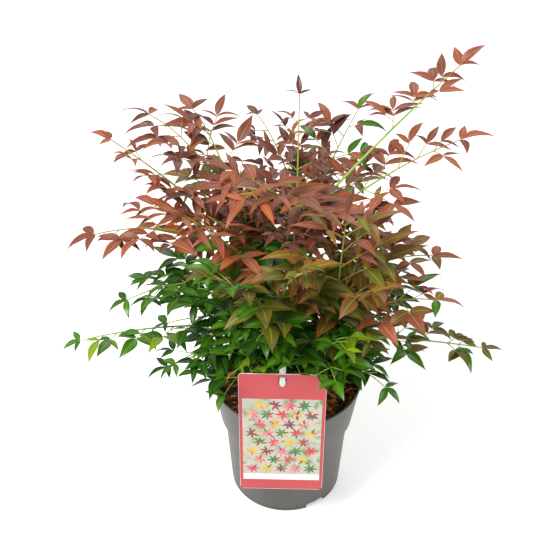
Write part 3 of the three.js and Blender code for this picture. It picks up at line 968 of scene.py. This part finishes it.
for name in CANES:
    take_room(solid_of(*tube(cane_arc(name), 0.0, 1.0, CANE, 8, 6)), f"cane_{name}")
for name, bare in BARE_SHARES.items():
    take_room(solid_of(*tube(spray_arc(name), 0.02, bare, STALK, 6, 4)), f"stem_{name}")
print("limbs and hard things:", len(grown))

# %% Habits
# How long a spray's leaflets are, how much shorter they get toward its tip, how wide they are
# for their length, how steeply they leave, how far they arch down and how deeply they fold.
TRAITS = ("leaflet", "taper", "width", "lift", "curl", "fold")
HABITS = {
    "young": (34, 0.4, (0.26, 0.44), (0.0, 0.4), (0.2, 1.1), (0.15, 0.5)),
    "lance": (54, 0.4, (0.22, 0.32), (0.0, 0.25), (0.3, 0.9), (0.1, 0.35)),
    "large": (38, 0.12, (0.25, 0.42), (0.0, 0.35), (0.3, 1.2), (0.15, 0.5)),
    "broad": (41, 0.3, (0.38, 0.5), (-0.05, 0.3), (0.4, 1.1), (0.12, 0.35)),
    "green": (34, 0.25, (0.32, 0.46), (-0.05, 0.35), (0.3, 1.0), (0.15, 0.4)),
}
USUAL_HABIT = {"crown": "young", "middle": "broad", "low": "green"}
OWN_HABIT = {name: "lance" for name in ("crown_front", "crown_front_left", "crown_front_right")}
for name in (
    "crown_right_long", "crown_right_low", "crown_back_right", "crown_left_high", "crown_left",
    "middle_left", "middle_right_high",
):
    OWN_HABIT[name] = "large"
OPEN_SPRAYS = (
    "crown_right_long", "crown_left_long", "middle_left", "middle_right_high", "low_left", "low_right",
)
CAD_LEAFLET = {"crown": 50.0, "middle": 50.0, "low": 46.0}
SPRAY_MARGIN = 12.0  # how far past its CAD solid's box a spray may grow

# %% Stems
STEM_RINGS, STEM_SIDES = 12, 6
twig_parts = {"crown": [], "middle": [], "low": []}
sprays = []


def start_spray(name, tier, arc, bare, stem_end, tints, seed, space):
    """A spray's stem, and what the rule needs to know of it."""
    habit = dict(zip(TRAITS, HABITS[OWN_HABIT.get(name, USUAL_HABIT[tier])]))
    tip = 1 - 0.8 * habit["leaflet"] / arc.length()
    spray = {
        "name": name,
        "tier": tier,
        "habit": habit,
        "arc": arc,
        "from": bare,
        "to": stem_end,
        "tip": max(tip, stem_end),
        "length": arc.length() * (stem_end - bare),
        "spread": SPREAD.get(name, 1.0),
        "tints": tints.split(),
        "seed": seed,
        "space": space,
    }
    corners, faces = tube(arc, bare, spray["tip"], (STEM[0], STEM[1] * 0.7), STEM_RINGS, STEM_SIDES)
    shares = [min(face) // STEM_SIDES / STEM_RINGS for face in faces]
    twig_parts[tier].append((corners, faces, [(share > 0.4) + (share > 0.78) for share in shares]))
    sprays.append(spray)
    return spray


for index, (name, plan) in enumerate(SPRAYS.items()):
    arc = spray_arc(name)
    tier = name.split("_")[0]
    bare, tints = plan[6:]
    stem_end = 1 - CAD_LEAFLET[tier] / arc.length()
    low, high = (np.array(corner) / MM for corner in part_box(f"spray_{name}"))
    space = (low - SPRAY_MARGIN, high + SPRAY_MARGIN)
    spray = start_spray(name, tier, arc, bare, stem_end, tints, 100 * (index + 1), space)
    take_room(solid_of(*tube(arc, max(bare, 0.03), spray["tip"], STEM, 6, 3)), f"stem_{name}")
print("stems:", len(sprays))

# %% [markdown]
# ## Leaflets
# A leaflet is a thin lance-shaped blade. It is folded along its midrib like a shallow V, arches
# down under its own weight, and ends in a fine drip tip. A few rows of corners from root to tip
# are enough: two edges, two corners in each half that round it, and a narrow strip for the
# midrib. The underside closes the blade, so it has a real if small thickness.

# %% Outline of a leaflet
OUTLINE = [(0.05, 0.3), (0.15, 0.7), (0.3, 0.97), (0.45, 0.97), (0.62, 0.72), (0.78, 0.4), (0.91, 0.13)]
ROWS = np.array([0.0] + [t for t, w in OUTLINE] + [1.0])
HALF_WIDTHS = np.array([0.0] + [w for t, w in OUTLINE] + [0.0])
ARCHING = 1.3  # above 1, so that a blade bends down more toward its tip


def midlines(lengths, lifts, curls, rows):
    """Distances along and above the root direction, for blades that arch down evenly."""
    steps = np.diff(rows)

    def slopes_at(places):
        return lifts[:, None] - curls[:, None] * places ** ARCHING

    def summed(parts):
        return np.pad(np.cumsum(parts * steps, 1), ((0, 0), (1, 0))) * lengths[:, None]

    angles = slopes_at(rows[:-1] + steps / 2)
    return summed(np.cos(angles)), summed(np.sin(angles)), slopes_at(rows)


COARSE = np.array([0.0, 0.2, 0.45, 0.75, 1.0])
COARSE_WIDTHS = np.interp(COARSE, ROWS, HALF_WIDTHS)
COARSE_FACES = [[0, 1, 2], [0, 2, 3]]
for row in range(2):
    a = 1 + 3 * row
    COARSE_FACES += [[a, a + 3, a + 4, a + 1], [a + 1, a + 4, a + 5, a + 2]]
COARSE_FACES += [[7, 10, 8], [8, 10, 9]]
ELBOW_ROOM = 0.72  # neighbours may come this close, as a share of a leaflet's size


def blade_of(leaf, share):
    """The few faces that stand for a leaflet, or for a share of it, in clearance tests."""
    length = leaf["length"] * share
    along, above, slopes = midlines(
        np.array([length]), np.array([leaf["lift"]]), np.array([leaf["curl"]]), COARSE
    )
    side = np.array(leaf["across"])
    forward, upward = np.array(leaf["along"]), np.array(leaf["up"])
    corners = [np.array(leaf["root"])]
    for row in range(1, 4):
        middle = np.array(leaf["root"]) + forward * along[0, row] + upward * above[0, row]
        normal = -forward * math.sin(slopes[0, row]) + upward * math.cos(slopes[0, row])
        half = COARSE_WIDTHS[row] * leaf["width"] * length / 2
        rise = normal * half * math.sin(leaf["fold"])
        reach = side * half * math.cos(leaf["fold"])
        corners += [middle - reach + rise, middle, middle + reach + rise]
    corners.append(np.array(leaf["root"]) + forward * along[0, 4] + upward * above[0, 4])
    return corners


# %% Space and header
tries = {True: 0, False: 0}


def claim_room(spray, corners, faces, may_meet, key):
    """Takes room for a new shape, unless it leaves the spray's space or meets another shape."""
    low, high = spray["space"]
    solid = solid_of(corners, faces)
    inside = (solid["low"] >= low).all() and (solid["high"] <= high).all()
    fits = bool(inside) and has_room(solid, may_meet)
    if fits:
        take_room(solid, key)
    tries[fits] += 1
    return fits


# Leaves are kept off the label's header, and more so the further they stand before it.
HEADER_ROOM = {"left": -60.0, "right": 18.0, "top": 268.0, "widens": 0.6}


def hides_header(corners):
    x, y, z = np.array(corners).T
    before = CARD["front"] - y
    beside = (x > HEADER_ROOM["left"]) & (x < HEADER_ROOM["right"])
    return (beside & (before > 0) & (z < HEADER_ROOM["top"] + HEADER_ROOM["widens"] * before)).any()


# %% Growing one leaflet
leaves = []
SHADES = 2
ROLL = math.radians(44)
SWAY = 0.24
TINT_LEAN = 1.4  # above 1, so that a spray's first tint comes up more often than its last
WHOLE_BLADE = 1.1


def grow_leaflet(spray, root, along, length, draw_next, may_meet, key):
    """A leaflet with its own roll, shape, tint and shade, if there is room for it."""
    habit = spray["habit"]
    level = along.cross(UP).normalized()
    above = level.cross(along).normalized()
    roll = ROLL * (draw_next() - 0.5)
    across = level * math.cos(roll) + above * math.sin(roll)
    leaf = {
        "root": root,
        "along": along,
        "across": across,
        "up": across.cross(along).normalized(),
        "length": length,
        "width": between(habit["width"], draw_next()),
        "lift": between(habit["lift"], draw_next()),
        "curl": between(habit["curl"], draw_next()),
        "fold": between(habit["fold"], draw_next()),
        "sway": SWAY * (draw_next() - 0.5),
        "tier": spray["tier"],
        "tint": spray["tints"][int(draw_next() ** TINT_LEAN * len(spray["tints"]))],
        "shade": int(draw_next() * SHADES),
    }
    if hides_header(blade_of(leaf, 1.0)):
        return
    if hits_hard_thing(solid_of(blade_of(leaf, WHOLE_BLADE), COARSE_FACES)):
        return
    if claim_room(spray, blade_of(leaf, ELBOW_ROOM), COARSE_FACES, may_meet, key):
        leaves.append(leaf)


# %% Growing twigs
TIP_PAIR = 0.93  # where the last pair of leaflets stands on its twig
TWIG_SIDES = 5


class Line:
    """A twig: straight, with a slight bow."""

    def __init__(self, root, end, bow):
        self.root, self.end, self.bow = root, end, bow

    def point(self, t):
        return self.root.lerp(self.end, t) + UP * (4 * t * (1 - t) * self.bow)

    def tangent(self, t):
        return (self.end - self.root + UP * (4 * (1 - 2 * t) * self.bow)).normalized()


def turned_toward(along, across, degrees):
    angle = math.radians(degrees)
    return (along * math.cos(angle) + across * math.sin(angle)).normalized()


def level_across(along):
    return along.cross(UP).normalized()


def place_key(kind, place):
    return f"{kind}_{place.x:.2f}_{place.y:.2f}_{place.z:.2f}"


def grow_leaflet_pair(spray, line, at, length, draw_next, twig_key):
    """Two opposite leaflets; the pair at a twig's tip opens the widest."""
    root, along = line.point(at), line.tangent(at)
    key = place_key("leaf", line.point(min(at, TIP_PAIR)))
    opening = 60 if at == TIP_PAIR else 50
    for side in (-1, 1):
        way = turned_toward(along, level_across(along) * side, opening + 22 * draw_next())
        size = length * (0.7 + 0.4 * draw_next())
        grow_leaflet(spray, root, way, size, draw_next, (twig_key, key), key)


def grow_tip_leaflets(spray, line, length, draw_next, twig_key):
    """One leaflet at a twig's tip, with a pair just below it."""
    key = place_key("leaf", line.point(TIP_PAIR))
    size = length * (0.9 + 0.24 * draw_next())
    grow_leaflet(spray, line.point(0.99), line.tangent(1), size, draw_next, (twig_key, key), key)
    grow_leaflet_pair(spray, line, TIP_PAIR, 0.86 * length, draw_next, twig_key)


def grow_twig(spray, root, way, length, leaflet, draw_next, parent_keys, radii, pairs):
    """A twig with leaflets at its tip and in pairs at the given shares of its length."""
    line = Line(root, root + way * length, 0.03 * length)
    twig_key = place_key("twig", root + way)
    corners, faces = tube(line, 0.0, 1.0, radii, 3, TWIG_SIDES)
    if not claim_room(spray, corners, faces, parent_keys, twig_key):
        return None
    tags = [1 + (min(face) >= 2 * TWIG_SIDES) for face in faces]
    twig_parts[spray["tier"]].append((corners, faces, tags))
    grow_tip_leaflets(spray, line, leaflet, draw_next, twig_key)
    for at in pairs:
        grow_leaflet_pair(spray, line, at, leaflet, draw_next, twig_key)
    return line, twig_key


def leaflet_size(spray, at):
    """The usual length of a leaflet at a share of the stem."""
    return spray["habit"]["leaflet"] * (1.08 - spray["habit"]["taper"] * at)


def grow_side_twig(spray, pair, row, side):
    """A side twig of the stem; the draws of the first ones are the CAD model's."""
    draw_next = random_stream(spray["seed"] + 10 * row + side)
    at = pair["at"] + 0.03 * draw_next()
    t = between((spray["from"], spray["to"]), at)
    root, along = spray["arc"].point(t), spray["arc"].tangent(t)
    way = turned_toward(along, level_across(along) * side, 48 + 14 * draw_next())
    way = (way + UP * (0.3 * draw_next() - 0.15 + pair["rise"])).normalized()
    length = pair["length"] * spray["length"] * spray["spread"] * (0.85 + 0.3 * draw_next())
    leaflet = leaflet_size(spray, at)
    stem_keys = (f"stem_{spray['name']}",)
    made = grow_twig(spray, root, way, length, leaflet, draw_next, stem_keys, TWIG, pair["leaflets"])
    if not made or not pair["finer"]:
        return
    line, twig_key = made
    for turn in (-1, 1):
        root, along = line.point(pair["finer"]), line.tangent(pair["finer"])
        way = turned_toward(along, level_across(along) * turn, 46 + 14 * draw_next())
        way = (way + UP * (0.5 * draw_next() - 0.15)).normalized()
        grow_twig(spray, root, way, 0.4 * length, 0.9 * leaflet, draw_next, (twig_key,), FINER_TWIG, ())


# %% Growing the sprays
# Each row of side twigs: its place on the stem, its length and rise, and the places of its own
# leaflets and finer twigs.
PAIR_TRAITS = ("at", "length", "rise", "leaflets", "finer")
PAIRS = [
    (0.10, 0.46, 0.0, (0.62,), 0.32),
    (0.42, 0.34, 0.0, (0.52,), None),
    (0.74, 0.22, 0.0, (), None),
    (0.26, 0.38, -0.3, (0.58,), 0.3),
    (0.58, 0.28, 0.3, (0.5,), None),
    (0.88, 0.13, -0.1, (), None),
]
ALL_ROWS = (0, 1, 2, 3, 4, 5)
OPEN_ROWS = (0, 1, 2, 5)
FILLING_ROWS = (0, 1, 2, 3)


def grow_stem_tip(spray):
    draw_next = random_stream(spray["seed"] + 77)
    end = Line(spray["arc"].point(spray["tip"] - 0.05), spray["arc"].point(spray["tip"]), 0.0)
    grow_tip_leaflets(spray, end, leaflet_size(spray, 1.0), draw_next, f"stem_{spray['name']}")


def grow_row(spray, row):
    """One pair of side twigs, left and right."""
    for side in (-1, 1):
        grow_side_twig(spray, dict(zip(PAIR_TRAITS, PAIRS[row])), row, side)


for spray in sprays:
    grow_stem_tip(spray)
for row in ALL_ROWS:
    for spray in sprays:
        if row in OPEN_ROWS or spray["name"] not in OPEN_SPRAYS:
            grow_row(spray, row)
    print("after row", row, "leaflets:", len(leaves))
print("shapes with room:", tries[True], "without:", tries[False])

# %% [markdown]
# ## Filling leaves
# The outer leaves of the plan make the crown's outline. Inside it stand many shorter leaves, which
# make the lower half a dense mass. They grow by the same rule from the nearest free place on a
# cane, in rings from low to high, and each turns on from the last by the golden angle.

# %% Rings of filling leaves
# Each ring: how many leaves, the heights and reaches of their tips, the part of the plant they
# belong to, and the tints they take in turn, on the left and on the right.
RINGS = {
    "skirt": (22, (228, 292), (95, 150), "low",
              ("leaf deep", "deep leaf lime"), ("leaf deep", "deep olive leaf")),
    "fringe": (12, (240, 290), (140, 185), "low",
               ("deep leaf", "leaf deep"), ("olive leaf", "leaf deep")),
    "belt": (20, (285, 345), (80, 140), "low",
             ("leaf deep", "deep leaf"), ("deep leaf", "leaf olive")),
    "girdle": (18, (345, 405), (70, 135), "middle",
               ("leaf olive", "deep leaf"), ("bronze olive", "olive leaf")),
    "cap": (13, (405, 468), (50, 120), "crown",
            ("russet mauve", "maroon mauve"), ("mauve russet", "maroon mauve")),
}
GOLDEN_ANGLE = 137.5
FIRST_FILLING_SEED = 9000
PLANT_SPACE = (np.array(cad_low) / MM, np.array(cad_high) / MM)
CANE_STEPS = 40
FILLING_STEM = (1.2, 0.6)
FILLING_LEAFLET = 34.0
FILLING_TRIES = 16
FILLING = {"bow": 26.0, "least_drop": 12.0, "shortest": 45.0, "clear_from": 0.08, "clear_tip": 30.0}


def starts_near(end):
    """Every third place on the canes a leaf with that tip could start from, the nearest first."""
    places = []
    for cane in CANES:
        arc = cane_arc(cane)
        for step in range(CANE_STEPS // 5, CANE_STEPS):
            place = arc.point(step / CANE_STEPS)
            drop = end.z - place.z
            if drop > FILLING["least_drop"]:
                places.append(((end - place).length + 0.5 * drop, cane, place))
    return sorted(places, key=lambda found: found[0])[::3][:FILLING_TRIES]


def start_filler(name, tier, end, tints, seed):
    """A filling leaf's stem, from the first place that leaves it room."""
    for distance, cane, place in starts_near(end):
        arc = Arc(place, place.lerp(end, 0.5) + UP * FILLING["bow"], end)
        length = arc.length()
        if length < FILLING["shortest"]:
            continue
        clear_to = 1 - FILLING["clear_tip"] / length
        solid = solid_of(*tube(arc, FILLING["clear_from"], clear_to, FILLING_STEM, 5, 3))
        if has_room(solid, (f"cane_{cane}",)):
            take_room(solid, f"stem_{name}")
            stem_end = 1 - FILLING_LEAFLET / length
            return start_spray(name, tier, arc, 0.0, stem_end, tints, seed, PLANT_SPACE)
    return None


fillers = []
for level, (ring, (number, heights, reaches, tier, left, right)) in enumerate(RINGS.items()):
    for count in range(number):
        seed = FIRST_FILLING_SEED + 100 * level + count
        draw_next = random_stream(seed)
        azimuth = math.radians(50 * level + GOLDEN_ANGLE * count)
        end = around(azimuth, between(reaches, draw_next()), between(heights, draw_next()))
        tints = (left if end.x < 0 else right)[count % 2]
        filler = start_filler(f"{ring}_{count}", tier, end, tints, seed)
        if filler:
            fillers.append(filler)
            grow_stem_tip(filler)
print("filling leaves:", len(fillers))

# %% Growing the filling leaves
for row in FILLING_ROWS:
    for spray in fillers:
        grow_row(spray, row)
print("leaflets:", len(leaves))

# %% [markdown]
# ## Leaf meshes
# All leaflets of one height of the plant go into one mesh, built from arrays in one stroke. Each
# face belongs to one of a few strips: margin, inner half, midrib and underside. Every strip has
# a plain colour of its own, so the autumn tints sit where they belong on each leaflet.

# %% Tints
# The colours of margin, inner half, midrib and underside, and how rough the blade is.
TINTS = {
    "mauve": ("8c4a2e", "784036", "a07232", "683a2c", 0.46),
    "maroon": ("723828", "603230", "845832", "562e26", 0.42),
    "russet": ("964826", "824632", "a87a32", "74402a", 0.46),
    "flame": ("a2481e", "8e4c2a", "b27a2c", "844426", 0.48),
    "bronze": ("865022", "6e581e", "98901e", "60501e", 0.44),
    "olive": ("6c581a", "585e18", "88941c", "4e541c", 0.42),
    "leaf": ("3a640e", "3c6c12", "628e20", "4a7422", 0.28),
    "deep": ("1f440a", "244e0c", "3c681a", "2e5618", 0.26),
    "lime": ("7c8c12", "5e8a16", "98a828", "6c8a26", 0.34),
}
STRIPS = ("margin", "inner", "midrib", "under")
MARGIN_STRIP, INNER_STRIP, MIDRIB_STRIP, UNDER_STRIP = range(len(STRIPS))
SHADE_STRENGTHS = (1.12, 0.82)


def plain_finish(name, tint, roughness, strength=1.0):
    finish, shader = new_finish(name, roughness)
    colour = [channel * strength for channel in paint(tint)[:3]]
    shader.inputs["Base Color"].default_value = (*colour, 1.0)
    shader.inputs["Specular IOR Level"].default_value = 0.4
    return finish


leaf_finishes = {}
for tint, (*codes, roughness) in TINTS.items():
    for shade, strength in enumerate(SHADE_STRENGTHS):
        leaf_finishes[tint, shade] = [
            plain_finish(f"{tint}_{strip_name}_{shade}", code, roughness, strength)
            for strip_name, code in zip(STRIPS, codes)
        ]


# %% Faces of one blade
UPPER = (-1.0, -0.55, -0.07, 0.07, 0.55, 1.0)
UNDER = (-0.55, 0.0, 0.55)
TOP = len(UPPER)
ROW_SIZE = TOP + len(UNDER)


def blade_faces():
    """Faces and strip numbers of one leaflet."""
    inner_rows = len(ROWS) - 2
    faces, strips = [], []
    ring = list(range(TOP)) + [TOP + 2, TOP + 1, TOP]
    strip_of = [MARGIN_STRIP, INNER_STRIP, MIDRIB_STRIP, INNER_STRIP, MARGIN_STRIP] + 4 * [UNDER_STRIP]
    for row in range(inner_rows - 1):
        a, b = 1 + row * ROW_SIZE, 1 + (row + 1) * ROW_SIZE
        near_tip = row == inner_rows - 2
        for k in range(ROW_SIZE):
            after = (k + 1) % ROW_SIZE
            faces.append([a + ring[k], a + ring[after], b + ring[after], b + ring[k]])
            strips.append(MARGIN_STRIP if near_tip and k < TOP - 1 else strip_of[k])
    last = 1 + (inner_rows - 1) * ROW_SIZE
    tip = last + ROW_SIZE
    for k in range(ROW_SIZE):
        after = (k + 1) % ROW_SIZE
        below = strip_of[k] == UNDER_STRIP
        faces.append([1 + ring[after], 1 + ring[k], 0])
        strips.append(UNDER_STRIP if below else MIDRIB_STRIP)
        faces.append([last + ring[k], last + ring[after], tip])
        strips.append(UNDER_STRIP if below else MARGIN_STRIP)
    return faces, strips


BLADE_FACES, BLADE_STRIPS = blade_faces()

# %% Blades in one stroke
# Each line along the blade: its share of the half width, its height over the middle and how much
# its edge waves.
LINES = [(share, 0.16, 0.05) for share in UPPER] + [(share, -0.22, 0.0) for share in UNDER]
DOMING = 0.1


def blades(group):
    """Corners of all leaflets of a group, in millimetres."""
    def column(key):
        return np.array([leaf[key] for leaf in group], float)

    def vectors(key):
        return np.array([leaf[key][:] for leaf in group], float)

    lengths, widths, folds = column("length"), column("width"), column("fold")
    along, above, slopes = midlines(lengths, column("lift"), column("curl"), ROWS)
    root, forward, side, upward = (vectors(k) for k in ("root", "along", "across", "up"))
    sway = column("sway")[:, None] * ROWS[None, :] ** 2 * lengths[:, None]
    middle = root[:, None] + forward[:, None] * along[..., None] + upward[:, None] * above[..., None]
    middle = middle + side[:, None] * sway[..., None]
    normal = -forward[:, None] * np.sin(slopes)[..., None] + upward[:, None] * np.cos(slopes)[..., None]
    half = HALF_WIDTHS[None, :] * (widths * lengths / 2)[:, None]
    corners = [middle[:, 0]]
    for row in range(1, len(ROWS) - 1):
        wave = np.sin(9 * ROWS[row] + 40 * sway[:, -1])
        for share, level, waviness in LINES:
            out = half[:, row] * share
            rise = np.abs(out) * (np.sin(folds) + waviness * wave * abs(share))
            rise += half[:, row] * DOMING * (1 - share ** 2) + level
            outward = side * (out * np.cos(folds))[:, None]
            corners.append(middle[:, row] + outward + normal[:, row] * rise[:, None])
    corners.append(middle[:, -1])
    return np.stack(corners, 1)


# %% Foliage pieces
def foliage_piece(name, group, slot_name, nodes):
    corners = blades(group)
    count, size = corners.shape[:2]
    faces, tags, finishes, first_slot = [], [], [], {}
    for number, leaf in enumerate(group):
        tint = (leaf["tint"], leaf["shade"])
        if tint not in first_slot:
            first_slot[tint] = len(finishes)
            finishes += leaf_finishes[tint]
        faces += [[number * size + index for index in face] for face in BLADE_FACES]
        tags += [first_slot[tint] + strip_number for strip_number in BLADE_STRIPS]
    piece = joined_piece(name, corners.reshape(-1, 3) * MM, faces, tags, finishes)
    smooth_sides(piece, 50)
    hand_over(piece, name, slot_name, *nodes)


for tier, slot_name in (("crown", "red_leaf"), ("middle", "bronze_leaf"), ("low", "green_leaf")):
    group = [leaf for leaf in leaves if leaf["tier"] == tier]
    nodes = [f"spray_{name}" for name in SPRAYS if name.split("_")[0] == tier]
    foliage_piece(f"leaflets_{tier}", group, slot_name, nodes)

# %% Twig pieces
# From a stem's foot to the finest twigs.
TWIG_TINTS = {
    "crown": ("7c9a2c", "9a9634", "98663a"),
    "middle": ("74982a", "98943a", "946a3c"),
    "low": ("5e9226", "7c9c30", "8e9a3a"),
}
for tier, codes in TWIG_TINTS.items():
    finishes = [plain_finish(f"twig_{tier}_{step}", code, 0.45) for step, code in enumerate(codes)]
    twigs = joined_piece(f"twigs_{tier}", *gathered(twig_parts[tier]), finishes)
    smooth_sides(twigs, 70)
    hand_over(twigs, f"twigs_{tier}", "stalk_skin")

# %% [markdown]
# The dressed plant keeps to the box of the CAD model, give or take a few millimetres. Both boxes
# are written down, in metres, so they can be compared after each change.

# %% Sizes
low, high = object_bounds()
print("visual box:", [round(c, 4) for c in low], [round(c, 4) for c in high])
